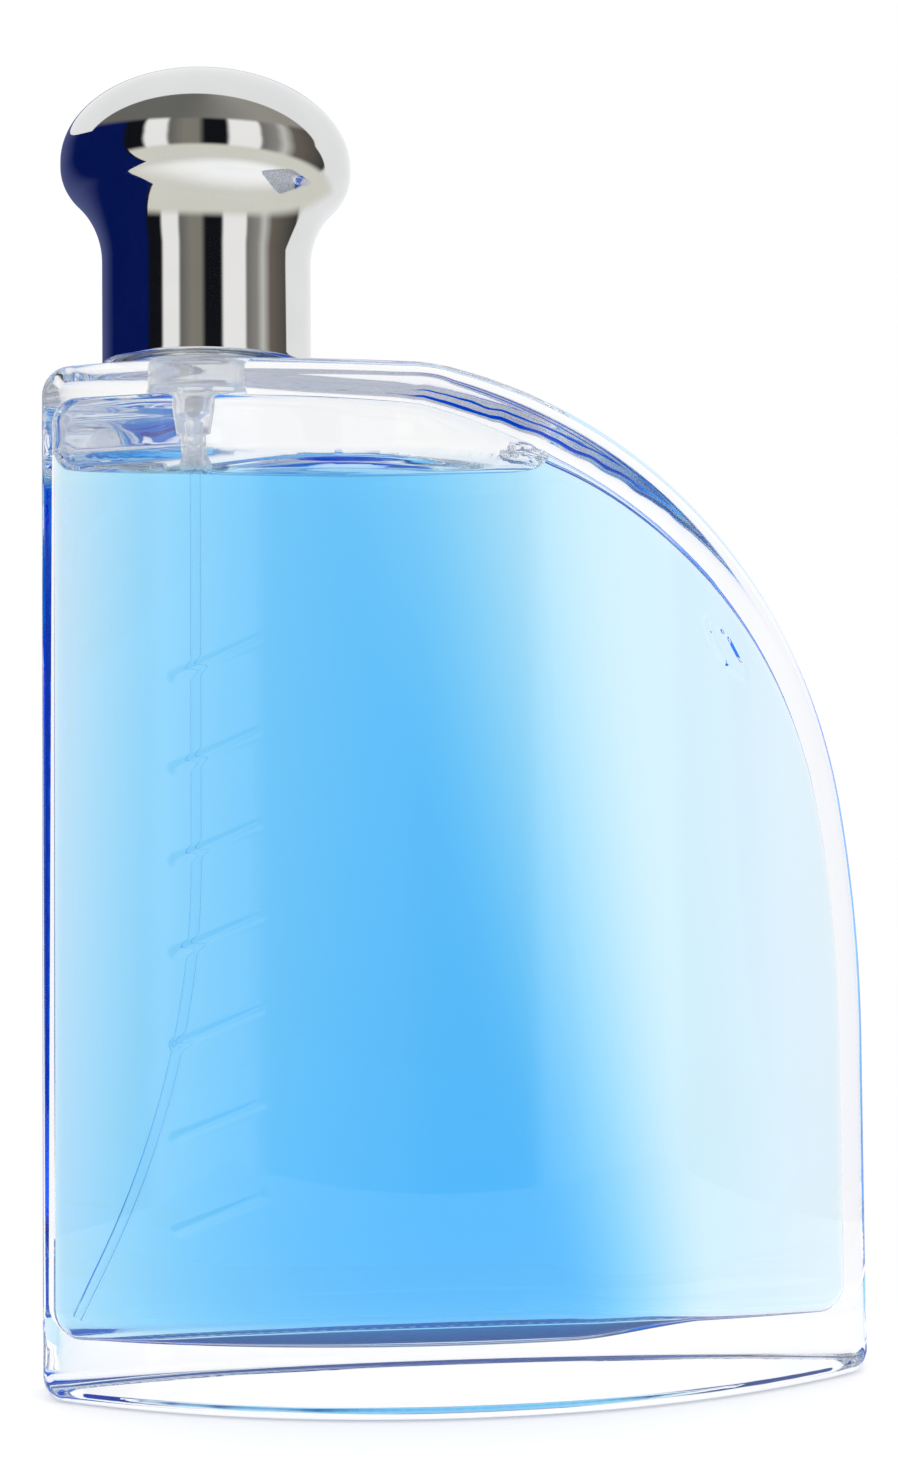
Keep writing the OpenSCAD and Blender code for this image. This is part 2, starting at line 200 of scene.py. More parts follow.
def swept(name, path, normals, radius, material, sides=20, bore=0.0):
    """A rod, or a tube where bore is given, along a path with a normal and a binormal at each point."""
    points, faces = [], []
    walls = [radius] + ([bore] if bore else [])
    count = len(path)
    for r in walls:
        for place, (across, up) in zip(path, normals):
            for j in range(sides):
                turn = 2 * math.pi * j / sides
                points.append(place + r * (math.cos(turn) * across + math.sin(turn) * up))
    for w in range(len(walls)):
        start = w * count * sides
        for i in range(count - 1):
            for j in range(sides):
                a, b = start + i * sides + j, start + i * sides + (j + 1) % sides
                faces.append((a, b, b + sides, a + sides))
    for i in (0, count - 1):
        ring = [i * sides + j for j in range(sides)]
        if bore:
            inner = count * sides
            faces += [(a, b, b + inner, a + inner) for a, b in zip(ring, ring[1:] + ring[:1])]
        else:
            faces.append(ring)
    return make_object(name, points, faces, material)


def smoothstep(x):
    x = np.clip(x, 0.0, 1.0)
    return x * x * (3 - 2 * x)


# ---------------------------------------------------------------- the sail outline


class Outline:
    """Points round the sail outline, each of which can be moved inwards by its own inset."""

    def __init__(self, floor, corner, top_corner, base, left_base, density=1.0):
        self.floor, self.corner, self.top_corner = floor, corner, top_corner
        self.base, self.left_base = base, left_base
        counts = [
            ("bottom", 260), ("right_corner", 10), ("right", 34), ("flank", 26), ("sweep", 72),
            ("turn", 20), ("slope", 30), ("top", 16), ("top_corner", 12), ("left", 80), ("left_corner", 10)
        ]
        self.kinds = [k for k, n in counts for _ in range(int(n * density))]
        self.t = np.concatenate([np.arange(int(n * density)) / int(n * density) for _, n in counts])
        self.size = len(self.kinds)

    def at(self, inset):
        """The outline's points as x and z, moved inwards by inset, one number or one for each point."""
        d = np.broadcast_to(np.asarray(inset, float), (self.size,)) + self.base
        out = np.zeros((self.size, 2))
        for i, (kind, t) in enumerate(zip(self.kinds, self.t)):
            out[i] = self.place(kind, t, d[i])
        return out

    def place(self, kind, t, d):
        left, right = d - self.base + self.left_base - HALF_W, HALF_W - d
        low = self.floor + d - self.base
        corner = max(self.corner - (d - self.base), 0.15)
        top_r = max(self.top_corner - (d - self.base), 0.15)
        turn_end = TURN_C + (TURN_R - d) * heading(TURN_A)
        top_z = LEVEL_Z - d
        level_x = turn_end[0] - (top_z - turn_end[1]) / SLOPE
        if kind == "bottom":
            return np.array([left + corner + (right - left - 2 * corner) * t, low])
        if kind == "right_corner":
            return np.array([right - corner, low + corner]) + corner * heading(270 + 90 * t)
        if kind == "right":
            return np.array([right, low + corner + (FLANK_Z - low - corner) * t])
        if kind == "flank":
            return FLANK_C + (FLANK_R - d) * heading(FLANK_A * t)
        if kind == "sweep":
            return SWEEP_C + (SWEEP_R - d) * heading(FLANK_A + (SWEEP_A - FLANK_A) * t)
        if kind == "turn":
            return TURN_C + (TURN_R - d) * heading(SWEEP_A + (TURN_A - SWEEP_A) * t)
        if kind == "slope":
            return turn_end + (np.array([level_x, top_z]) - turn_end) * t
        if kind == "top":
            return np.array([level_x + (left + top_r - level_x) * t, top_z])
        if kind == "top_corner":
            return np.array([left + top_r, top_z - top_r]) + top_r * heading(90 + 90 * t)
        if kind == "left":
            return np.array([left, top_z - top_r + (low + corner - top_z + top_r) * t])
        return np.array([left + corner, low + corner]) + corner * heading(180 + 90 * t)

    def rounding(self, side, curve, top, bottom):
        """One edge rounding for each point, blended round the corners."""
        wanted = {
            "bottom": bottom, "right_corner": bottom, "left_corner": bottom,
            "right": curve, "flank": curve, "sweep": curve,
            "turn": top, "slope": top, "top": top, "top_corner": top, "left": side
        }
        r = np.array([wanted[k] for k in self.kinds])
        for _ in range(60):
            r = (np.roll(r, 1) + r + np.roll(r, -1)) / 3
        return r


def half_depth(x, z, hollow):
    """Distance from the middle plane to the outer face, or to the face of the hollow."""
    lean = FACE_TAPER * z / SHOULDER_Z
    radius = (HOLLOW_R if hollow else FACE_R) - lean
    depth = HALF_DEPTH - (FACE_WALL if hollow else 0.0) - lean
    depth = depth - radius + np.sqrt(radius ** 2 - (x - THICK_X) ** 2)
    if not hollow:
        return depth
    start = THIN_FROM + THIN_FROM_RISE * z
    width = THIN_OVER + THIN_OVER_RISE * z
    return depth * (1 - THIN_SHARE * smoothstep((x - start) / width))


def inside(points, loop):
    """Which points lie in a closed loop, and how far each is from it."""
    a, b = loop, np.roll(loop, -1, 0)
    ab = b - a
    hit = np.zeros(len(points), bool)
    far = np.full(len(points), 1e9)
    for p0, p1, step in zip(a, b, ab):
        cross = (p0[1] > points[:, 1]) != (p1[1] > points[:, 1])
        rise = step[1] if abs(step[1]) > 1e-12 else 1e-12
        hit ^= cross & (points[:, 0] < p0[0] + (points[:, 1] - p0[1]) / rise * step[0])
        length = max(float(step @ step), 1e-12)
        t = np.clip(((points - p0) @ step) / length, 0, 1)
        gap = points - p0 - t[:, None] * step
        far = np.minimum(far, np.sqrt((gap ** 2).sum(1)))
    return hit, far


def grid_in(loop, pitch, clear):
    """Points of a staggered grid that lie in a loop, at least clear from it."""
    low, high = loop.min(0), loop.max(0)
    rows = []
    for k, v in enumerate(np.arange(low[1] + pitch / 2, high[1], pitch * 0.866)):
        u = np.arange(low[0] + pitch / 2 * (1 + k % 2), high[0], pitch)
        rows.append(np.stack([u, np.full_like(u, v)], 1))
    points = np.concatenate(rows)
    hit, far = inside(points, loop)
    keep = hit & (far > clear)
    return points[keep], far[keep]


def triangulate(loop, inner):
    """Triangles that fill a loop through inner points, as indices into the two lists joined."""
    count = len(loop)
    points = [Vector(p) for p in loop] + [Vector(p) for p in inner]
    edges = [(i, (i + 1) % count) for i in range(count)]
    found = delaunay_2d_cdt(points, edges, [], 1, 1e-6)
    index = [o[0] if o else None for o in found[3]]
    faces = [tuple(index[i] for i in f) for f in found[2]]
    return [f for f in faces if None not in f]


def lens_body(outline, hollow, edge_r, pitch, relief=None, rim_rows=16, round_rows=9):
    """A closed lens body: a rim along the outline, rounded edges, and a filled sheet in front and behind."""
    base = outline.at(0.0)
    h0 = half_depth(base[:, 0], base[:, 1], hollow)
    deep = outline.at(edge_r)
    slope = (half_depth(deep[:, 0], deep[:, 1], hollow) - h0) / edge_r
    lean = np.arctan(slope)
    limit = np.maximum(h0, 0.4) / (1 / np.cos(lean) - np.tan(lean))
    r = np.minimum(edge_r, 0.96 * limit)
    end = outline.at(r * (1 - np.sin(lean)))
    middle = half_depth(end[:, 0], end[:, 1], hollow) - r * np.cos(lean)
    middle = np.maximum(middle, 0.02)
    n = outline.size
    points = [np.array([x, 0.0, z]) for x, z in base]
    faces = []
    for side in (-1, 1):
        previous = list(range(n))
        for k in range(1, rim_rows + 1):
            start = len(points)
            points += [np.array([p[0], side * m * k / rim_rows, p[1]]) for p, m in zip(base, middle)]
            faces += strip(previous, start, n)
            previous = list(range(start, start + n))
        for k in range(1, round_rows + 1):
            turn = (math.pi / 2 - lean) * k / round_rows
            flat = outline.at(r * (1 - np.cos(turn)))
            y = middle + r * np.sin(turn)
            start = len(points)
            points += [np.array([p[0], side * v, p[1]]) for p, v in zip(flat, y)]
            faces += strip(previous, start, n)
            previous = list(range(start, start + n))
        loop = np.array([points[i][[0, 2]] for i in previous])
        inner, _ = grid_in(loop, pitch, pitch * 0.5)
        if relief is not None and side < 0:
            inner = relief.refine(inner, loop)
        y = half_depth(inner[:, 0], inner[:, 1], hollow)
        if relief is not None:
            y = y + relief.height(inner, side)
        index = previous + list(range(len(points), len(points) + len(inner)))
        points += [np.array([p[0], side * v, p[1]]) for p, v in zip(inner, y)]
        faces += [tuple(index[i] for i in f) for f in triangulate(loop, inner)]
    return points, faces


def strip(previous, start, n):
    return [(previous[i], previous[(i + 1) % n], start + (i + 1) % n, start + i) for i in range(n)]


# ---------------------------------------------------------------- materials


def new_material(name):
    material = bpy.data.materials.new(name)
    material.use_nodes = True
    tree = material.node_tree
    tree.nodes.clear()
    output = tree.nodes.new("ShaderNodeOutputMaterial")
    return material, tree, output


def principled(name, colour, roughness=0.3, metallic=0.0, ior=1.5, transmission=0.0):
    material, tree, output = new_material(name)
    shader = tree.nodes.new("ShaderNodeBsdfPrincipled")
    shader.inputs["Base Color"].default_value = (*colour, 1)
    shader.inputs["Roughness"].default_value = roughness
    shader.inputs["Metallic"].default_value = metallic
    shader.inputs["IOR"].default_value = ior
    shader.inputs["Transmission Weight"].default_value = transmission
    tree.links.new(shader.outputs["BSDF"], output.inputs["Surface"])
    return material, tree, shader, output


def add_noise(tree, scale, detail=3.0, stretch=(1, 1, 1)):
    place = tree.nodes.new("ShaderNodeTexCoord")
    mapping = tree.nodes.new("ShaderNodeMapping")
    mapping.inputs["Scale"].default_value = stretch
    noise = tree.nodes.new("ShaderNodeTexNoise")
    noise.inputs["Scale"].default_value = scale
    noise.inputs["Detail"].default_value = detail
    tree.links.new(place.outputs["Object"], mapping.inputs["Vector"])
    tree.links.new(mapping.outputs["Vector"], noise.inputs["Vector"])
    return noise


def vary(tree, noise, socket, low, high):
    """Drives a socket between two values by a noise."""
    spread = tree.nodes.new("ShaderNodeMapRange")
    spread.inputs["From Min"].default_value = 0.3
    spread.inputs["From Max"].default_value = 0.7
    spread.inputs["To Min"].default_value = low
    spread.inputs["To Max"].default_value = high
    tree.links.new(noise.outputs["Fac"], spread.inputs["Value"])
    tree.links.new(spread.outputs["Result"], socket)


def tint(tree, noise, shader, dark, light):
    """Colour that wanders between two shades."""
    ramp = tree.nodes.new("ShaderNodeValToRGB")
    ramp.color_ramp.elements[0].position = 0.35
    ramp.color_ramp.elements[1].position = 0.65
    ramp.color_ramp.elements[0].color = (*dark, 1)
    ramp.color_ramp.elements[1].color = (*light, 1)
    tree.links.new(noise.outputs["Fac"], ramp.inputs["Fac"])
    tree.links.new(ramp.outputs["Color"], shader.inputs["Base Color"])


def add_bump(tree, noise, shader, strength, distance):
    bump = tree.nodes.new("ShaderNodeBump")
    bump.inputs["Strength"].default_value = strength
    bump.inputs["Distance"].default_value = distance
    tree.links.new(noise.outputs["Fac"], bump.inputs["Height"])
    tree.links.new(bump.outputs["Normal"], shader.inputs["Normal"])


def glass_material():
    material, tree, shader, _ = principled("clear_glass", (1, 1, 1), 0.0, 0.0, 1.5, 1.0)
    noise = add_noise(tree, 45.0, 2.0)
    add_bump(tree, noise, shader, 0.05, 0.0004)
    return material


LIQUID_IOR = 1.36
GLASS_IOR = 1.5


def liquid_material():
    """The liquid meets glass all round, so its index is the one relative to glass."""
    material, tree, _, output = principled(
        "blue_aftershave", (1, 1, 1), 0.0, 0.0, LIQUID_IOR / GLASS_IOR, 1.0
    )
    volume = tree.nodes.new("ShaderNodeVolumeAbsorption")
    volume.inputs["Color"].default_value = (0.0, 0.71, 0.994, 1)
    volume.inputs["Density"].default_value = 112.0
    tree.links.new(volume.outputs["Volume"], output.inputs["Volume"])
    return material


def tube_material():
    material, tree, shader, _ = principled("tube_plastic", (0.97, 0.99, 1), 0.03, 0.0, 1.07, 1.0)
    noise = add_noise(tree, 900.0, 2.0)
    vary(tree, noise, shader.inputs["Roughness"], 0.02, 0.08)
    return material


def milky_plastic(name, colour, see_through_and_glow, roughness=0.25):
    material, tree, shader, _ = principled(name, colour, roughness, 0.0, 1.5, see_through_and_glow)
    # Emission in the plastic's own colour, stronger the clearer the plastic is: a painted glow that lifts it
    # out of the shade round it, though it is no lamp.
    shader.inputs["Emission Color"].default_value = (*colour, 1)
    shader.inputs["Emission Strength"].default_value = 0.1 * see_through_and_glow
    noise = add_noise(tree, 700.0, 4.0)
    dark = tuple(c * 0.93 for c in colour)
    tint(tree, noise, shader, dark, colour)
    fine = add_noise(tree, 4000.0, 2.0)
    vary(tree, fine, shader.inputs["Roughness"], roughness * 0.8, roughness * 1.3)
    add_bump(tree, fine, shader, 0.12, 0.00005)
    return material


def metal(name, colour, roughness, stretch=(1, 1, 1), scale=900.0, bump=0.03):
    material, tree, shader, _ = principled(name, colour, roughness, 1.0)
    noise = add_noise(tree, scale, 4.0, stretch)
    vary(tree, noise, shader.inputs["Roughness"], roughness * 0.7, roughness * 1.5)
    tint(tree, noise, shader, tuple(c * 0.97 for c in colour), colour)
    add_bump(tree, noise, shader, bump, 0.00002)
    return material


def rubber_material():
    material, tree, shader, _ = principled("seal_rubber", (0.03, 0.03, 0.032), 0.6)
    noise = add_noise(tree, 2500.0, 4.0)
    tint(tree, noise, shader, (0.02, 0.02, 0.022), (0.05, 0.05, 0.053))
    vary(tree, noise, shader.inputs["Roughness"], 0.5, 0.75)
    add_bump(tree, noise, shader, 0.2, 0.00004)
    return material


MATS = {
    "glass": glass_material(),
    "liquid": liquid_material(),
    "clear_plastic": tube_material(),
    "white_plastic": milky_plastic("white_moulded", (0.86, 0.86, 0.85), 0.0, 0.3),
    # The milky pump barrel, clear and with a faint painted glow.
    "natural_plastic": milky_plastic("milky_moulded_painted_glow", (0.97, 0.98, 0.99), 0.85, 0.15),
    "seal": rubber_material(),
    "spring_steel": metal("spring_wire", (0.62, 0.62, 0.63), 0.22),
    "aluminium": metal("bright_aluminium", (0.86, 0.87, 0.89), 0.16, (1, 1, 14), 500.0, 0.06),
    "cap_metal": metal("mirror_chrome", (0.78, 0.775, 0.76), 0.035, (1, 1, 1), 220.0, 0.01),
}

for entry in frame["record"]["subparts"]:
    cad = frame["nodes"][entry["node"]]
    cad.data.materials.clear()
    cad.data.materials.append(MATS[entry["material_slot"]])
    cad.data.shade_smooth()
    cad.data.set_sharp_from_angle(angle=math.radians(28))


def settle(piece, body, slot_name, *nodes):
    """Puts a finished piece on its body in place of its CAD nodes."""
    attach(piece, body)
    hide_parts(*nodes)


# ---------------------------------------------------------------- glass


class Relief:
    """A column of plain slanted bars and one slim oval, raised on the front face."""

    bar_height = 0.24
    bars = 7
    bar_x = -25.3
    low_z = 20.0
    high_z = 75.0
    bar_length = 9.0
    bar_width = 0.9
    bar_tilt = 24.0
    oval_at = (26.6, 75.9)
    oval_half = (0.85, 3.2)
    oval_tilt = 34.0
    oval_height = 0.3
    oval_line = 0.3
    bar_reach = 1.3       # distance up to which the mesh is made finer round a bar
    oval_reach = 0.8
    fine_pitch = 0.3

    def bar_distance(self, p):
        far = np.full(len(p), 1e9)
        along = heading(self.bar_tilt)
        for z in np.linspace(self.low_z, self.high_z, self.bars):
            gap = p - np.array([self.bar_x, z])
            t = np.clip(gap @ along, -self.bar_length / 2, self.bar_length / 2)
            far = np.minimum(far, np.linalg.norm(gap - t[:, None] * along, axis=1))
        return far

    def oval_distance(self, p):
        gap = p - np.array(self.oval_at)
        along, across = heading(90 + self.oval_tilt), heading(self.oval_tilt)
        u, v = gap @ across / self.oval_half[0], gap @ along / self.oval_half[1]
        return np.abs(np.sqrt(u * u + v * v) - 1) * self.oval_half[0]

    def refine(self, points, loop):
        fine, _ = grid_in(loop, self.fine_pitch, 1.0)
        return np.concatenate([points[~self.is_near(points)], fine[self.is_near(fine)]])

    def is_near(self, p):
        return (self.bar_distance(p) < self.bar_reach) | (self.oval_distance(p) < self.oval_reach)

    def height(self, p, side):
        if side > 0:
            return np.zeros(len(p))
        bar = 1 - smoothstep((self.bar_distance(p) - self.bar_width / 2 + 0.3) / 0.5)
        oval = 1 - smoothstep(self.oval_distance(p) / self.oval_line)
        return self.bar_height * bar + self.oval_height * oval


class InnerWaves:
    """The soft unevenness of the inner glass wall, with faint upright ridges that fan out downwards."""

    # Each ridge: its x at the liquid's level and at the table, its width and its height.
    ridges = ((-9, 4, 1.6, 0.03), (-5, 13, 1.2, 0.025), (-2, -2, 1.8, 0.02))

    def refine(self, points, loop):
        return points

    def height(self, p, side):
        x, z = p[:, 0], p[:, 1]
        calm = half_depth(x, z, True) / (HALF_DEPTH - FACE_WALL)
        soft = 0.10 * np.sin(x / 9.0 + z / 31.0 + side) + 0.07 * np.sin(z / 13.0 - x / 17.0)
        ridge = np.zeros(len(p))
        if side < 0:
            for top_x, low_x, width, lift in self.ridges:
                line = low_x + (top_x - low_x) * z / FILL_Z
                ridge += lift * np.exp(-(((x - line) / width) ** 2))
        return (soft + ridge) * calm


def bm_from(points, faces):
    bm = bmesh.new()
    verts = [bm.verts.new(tuple(p)) for p in points]
    for f in faces:
        try:
            bm.faces.new([verts[i] for i in f])
        except ValueError:
            pass
    bmesh.ops.remove_doubles(bm, verts=bm.verts, dist=1e-4)
    bmesh.ops.dissolve_degenerate(bm, edges=bm.edges, dist=1e-5)
    bmesh.ops.recalc_face_normals(bm, faces=bm.faces)
    return bm


def bm_lists(bm):
    bm.verts.ensure_lookup_table()
    bm.verts.index_update()
    return [np.array(v.co) for v in bm.verts], [tuple(v.index for v in f.verts) for f in bm.faces]


def boolean(points, faces, other_points, other_faces, operation):
    """Exact union or difference of two closed bodies."""
    objects = []
    for n, (p, f) in enumerate(((points, faces), (other_points, other_faces))):
        mesh = bpy.data.meshes.new(f"operand_{n}")
        mesh.from_pydata([tuple(float(c) for c in q) for q in p], [], f)
        obj = bpy.data.objects.new(f"operand_{n}", mesh)
        bpy.context.scene.collection.objects.link(obj)
        objects.append(obj)
    modifier = objects[0].modifiers.new("join", "BOOLEAN")
    modifier.operation = operation
    modifier.solver = "EXACT"
    modifier.object = objects[1]
    graph = bpy.context.evaluated_depsgraph_get()
    result = objects[0].evaluated_get(graph).to_mesh()
    out_points = [np.array(v.co) for v in result.vertices]
    out_faces = [tuple(p.vertices) for p in result.polygons]
    for obj in objects:
        bpy.data.objects.remove(obj)
    return out_points, out_faces


def turned_lists(profile, segments=96):
    points, faces = [], []
    count = len(profile)
    for s in range(segments):
        turn = 2 * math.pi * s / segments
        points += [np.array([NECK_X + r * math.cos(turn), r * math.sin(turn), z]) for r, z in profile]
    for s in range(segments):
        here, there = s * count, (s + 1) % segments * count
        for k in range(count - 1):
            faces.append((here + k, there + k, there + k + 1, here + k + 1))
    for k in (0, count - 1):
        ring = [s * count + k for s in range(segments)]
        faces.append(ring if k else ring[::-1])
    return points, faces


def shape_base(points):
    """Hollows the base inside its standing ring and gives the ring its fine moulded notches."""
    ring_w, blend_w = 3.2, 2.0
    notch, notch_depth, notch_at, notch_w = 1.25, 0.16, 2.6, 0.8
    for p in points:
        if p[2] > 0.02:
            continue
        edge = float(half_depth(p[0], 0.0, False))
        gap = min(edge - abs(p[1]), HALF_W - abs(p[0]))
        hollow = BASE_HOLLOW * float(smoothstep((gap - ring_w) / blend_w))
        band = math.exp(-(((gap - notch_at) / notch_w) ** 2))
        hollow += notch_depth * band * (0.5 + 0.5 * math.sin(2 * math.pi * p[0] / notch))
        p[2] += hollow


def glass_outside():
    outline = Outline(0.0, 2.5, 3.0, 0.0, 0.0)
    edge_r = outline.rounding(0.9, 2.6, 2.0, 1.3)
    points, faces = lens_body(outline, False, edge_r, 2.2, Relief())
    shape_base(points)
    bm = bm_from(points, faces)
    points, faces = bm_lists(bm)
    bm.free()
    throat, lip = 6.6, 7.5
    neck = fillet([
        (throat, SHOULDER_Z - 1.5, 0), (throat, LIP_Z - 4.0, 0.5), (lip, LIP_Z - 3.6, 0.5), (lip, LIP_Z, 0.7)
    ])
    neck = [(r, z) for r, z in neck] + [(lip - 1.2, LIP_Z)]
    return boolean(points, faces, *turned_lists(neck), "UNION")


def cavity_lists():
    outline = Outline(FLOOR_T, 3.0, 2.5, SIDE_WALL, LEFT_WALL, 0.6)
    edge_r = outline.rounding(1.4, 3.0, 1.6, 2.2)
    return lens_body(outline, True, edge_r, 1.1, InnerWaves(), 6, 6)


MENISCUS_RISE = 2.0
MENISCUS_REACH = 1.1
TUBE_RISE = 0.7
TUBE_REACH = 0.7


def cut_cavity(level, keep_above):
    """The cavity on one side of a level plane, with the loop where it was cut."""
    bm = bm_from(*cavity_lists())
    cut = bmesh.ops.bisect_plane(
        bm, geom=bm.verts[:] + bm.edges[:] + bm.faces[:], plane_co=(0, 0, level), plane_no=(0, 0, 1),
        clear_inner=keep_above, clear_outer=not keep_above
    )
    rim = [e for e in cut["geom_cut"] if isinstance(e, bmesh.types.BMEdge)]
    bm.verts.ensure_lookup_table()
    bm.verts.index_update()
    links = {}
    for e in rim:
        a, b = e.verts[0].index, e.verts[1].index
        links.setdefault(a, []).append(b)
        links.setdefault(b, []).append(a)
    loop = [next(iter(links))]
    while True:
        following = [n for n in links[loop[-1]] if n not in loop[-2:]]
        if not following or following[0] == loop[0]:
            break
        loop.append(following[0])
    points, faces = bm_lists(bm)
    bm.free()
    return points, faces, loop


def close_with_meniscus(points, faces, loop, lift):
    """Closes a cut cavity with the liquid's surface, which climbs the wall and the dip tube."""
    flat = np.array([points[i][:2] for i in loop])
    inner, far = grid_in(flat, 0.45, 0.22)
    rise = MENISCUS_RISE * np.exp(-far / MENISCUS_REACH)
    tube_gap = np.maximum(np.linalg.norm(inner - np.array([NECK_X, 0.0]), axis=1) - TUBE_R, 0)
    rise = rise + TUBE_RISE * np.exp(-tube_gap / TUBE_REACH)
    index = loop + list(range(len(points), len(points) + len(inner)))
    points = points + [np.array([p[0], p[1], FILL_Z + lift + r]) for p, r in zip(inner, rise)]
    faces = faces + [tuple(index[i] for i in f) for f in triangulate(flat, inner)]
    return points, faces


def build_glass():
    """The glass with its pocket of air. It isn't hollowed for the liquid, whose mesh lies inside it."""
    film = 0.012          # glass left between the air and the liquid
    mouth_film = 0.02     # glass left across the mouth, above the pocket of air
    points, faces = glass_outside()
    level = FILL_Z + MENISCUS_RISE
    pocket = close_with_meniscus(*cut_cavity(level + film, True), film)
    mouth_r, bore_r = 5.6, 4.9
    roof_z = SHOULDER_Z - SIDE_WALL
    bore = fillet([(mouth_r, roof_z - 0.6, 0), (bore_r, roof_z + 1.2, 1.0), (bore_r, LIP_Z - mouth_film, 0)])
    pocket = boolean(*pocket, *turned_lists([(r, z) for r, z in bore]), "UNION")
    start = len(points)
    points = points + pocket[0]
    faces = faces + [tuple(start + i for i in f) for f in pocket[1]]
    glass = make_object("glass_body", points, faces, MATS["glass"], 40.0)
    settle(glass, "bottle", "glass", "glass_bottle")


def build_liquid():
    points, faces = close_with_meniscus(*cut_cavity(FILL_Z + MENISCUS_RISE, False), 0.0)
    liquid = make_object("blue_liquid", points, faces, MATS["liquid"], 60.0)
    settle(liquid, "bottle", "liquid", "aftershave_fill")


# ---------------------------------------------------------------- dip tube and springs


def build_dip_tube():
    bend_z, bend_r, bend, end_l = 54.0, 90.0, 27.0, 6.0
    steps = 21
    middle_z = (SOCKET_TOP_Z + bend_z) / 2
    stops = [(NECK_X, SOCKET_TOP_Z, 0.0), (NECK_X, middle_z, 0.0), (NECK_X, bend_z, 0.0)]
    centre = np.array([NECK_X - bend_r, bend_z])
    for k in range(1, steps + 1):
        place = centre + bend_r * heading(-bend * k / steps)
        stops.append((place[0], place[1], bend * k / steps))
    last = centre + bend_r * heading(-bend) - end_l * heading(90 - bend)
    stops.append((last[0], last[1], bend))
    path = [np.array([x, 0.0, z]) for x, z, _ in stops]
    frames = []
    for _, _, lean in stops:
        c, s = heading(lean)
        frames.append((np.array([c, 0, -s]), np.array([0, 1.0, 0])))
    tube = swept("dip_tube_clear", path, frames, TUBE_R, MATS["clear_plastic"], 28, TUBE_BORE_R)
    settle(tube, "bottle", "clear_plastic", "dip_tube")


def build_spring(name, node, body, coil_r, wire_r, turns):
    low, high = corners_mm(node)
    rise = high[2] - low[2] - 2 * wire_r
    end_pitch = 2.1 * wire_r
    ease = 1 - end_pitch * turns / rise
    path, frames = [], []
    steps = turns * 40
    for i in range(steps + 1):
        t = i / steps
        turn = 2 * math.pi * turns * t
        out = np.array([math.cos(turn), math.sin(turn), 0])
        z = low[2] + wire_r + rise * (t - ease * math.sin(2 * math.pi * t) / (2 * math.pi))
        path.append(np.array([NECK_X, 0, z]) + coil_r * out)
        frames.append((out, np.array([0, 0, 1.0])))
    spring = swept(name, path, frames, wire_r, MATS["spring_steel"], 14)
    settle(spring, body, "spring_steel", node)
    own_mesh(spring)


# ---------------------------------------------------------------- pump pieces


def build_housing():
    low = housing_low[2]
    foot = LIP_Z - 12.9
    gasket_seat = LIP_Z - 0.4
    cage_top, cage = LIP_Z - 12.6, LIP_Z - 14.4
    socket_r = TUBE_R + 0.025
    outside = [
        (socket_r, low, 0), (1.25, low, 0.15), (1.25, low + 0.8, 0.1), (1.7, low + 0.85, 0.15),
        (2.3, foot, 0.2), (3.6, foot, 0.35), (3.6, foot + 3, 0.5), (4.4, foot + 3.4, 0.3),
        (4.4, FLANGE_Z, 0.2), (7.2, FLANGE_Z, 0.1), (7.2, FLANGE_TOP_Z, 0.1), (3.5, FLANGE_TOP_Z, 0.1)
    ]
    inside_wall = [
        (3.5, gasket_seat, 0.05), (2.9, gasket_seat, 0.1), (2.9, CHAMBER_FLOOR_Z, 0.15),
        (0.85, CHAMBER_FLOOR_Z, 0.05), (0.85, cage_top, 0.05), (1.2, cage_top, 0.1),
        (1.2, cage, 0.1), (0.5, SEAT_Z, 0.05), (0.5, SOCKET_TOP_Z, 0), (socket_r, SOCKET_TOP_Z, 0)
    ]
    profile = fillet(outside + inside_wall, 4)
    housing = lathe("pump_barrel", profile, MATS["natural_plastic"], 96)
    settle(housing, "bottle", "natural_plastic", "pump_housing")


def build_ferrule():
    top, roll = FERRULE_TOP_Z, LIP_Z - 4.7
    profile = fillet([
        (7.0, roll, 0.15), (7.6, roll, 0.3), (8.1, roll + 0.7, 0.4), (8.1, top, 0.7), (3.5, top, 0.15),
        (3.5, top - 0.4, 0.1), (7.7, top - 0.4, 0.4), (7.7, roll + 0.9, 0.3), (7.4, roll + 0.4, 0.1),
        (7.0, roll + 0.4, 0.1)
    ], 5)
    ferrule = lathe("crimped_ferrule", profile, MATS["aluminium"], 128)
    settle(ferrule, "bottle", "aluminium", "crimp_ferrule")


def build_collar():
    low, top = collar_low[2], collar_high[2]
    inner = skin_high[0] - NECK_X + 0.3
    profile = fillet([
        (8.15, low, 0.08), (8.5, low, 0.15), (8.5, low + 1.2, 0.05), (8.42, low + 1.35, 0.05),
        (8.42, low + 1.6, 0.05), (8.5, low + 1.75, 0.05), (8.5, top, 0.35), (inner, top, 0.25),
        (inner, top - 0.6, 0.15), (8.15, top - 0.6, 0.1)
    ], 5)
    collar = lathe("polished_collar", profile, MATS["aluminium"], 160)
    settle(collar, "bottle", "aluminium", "collar_ring")


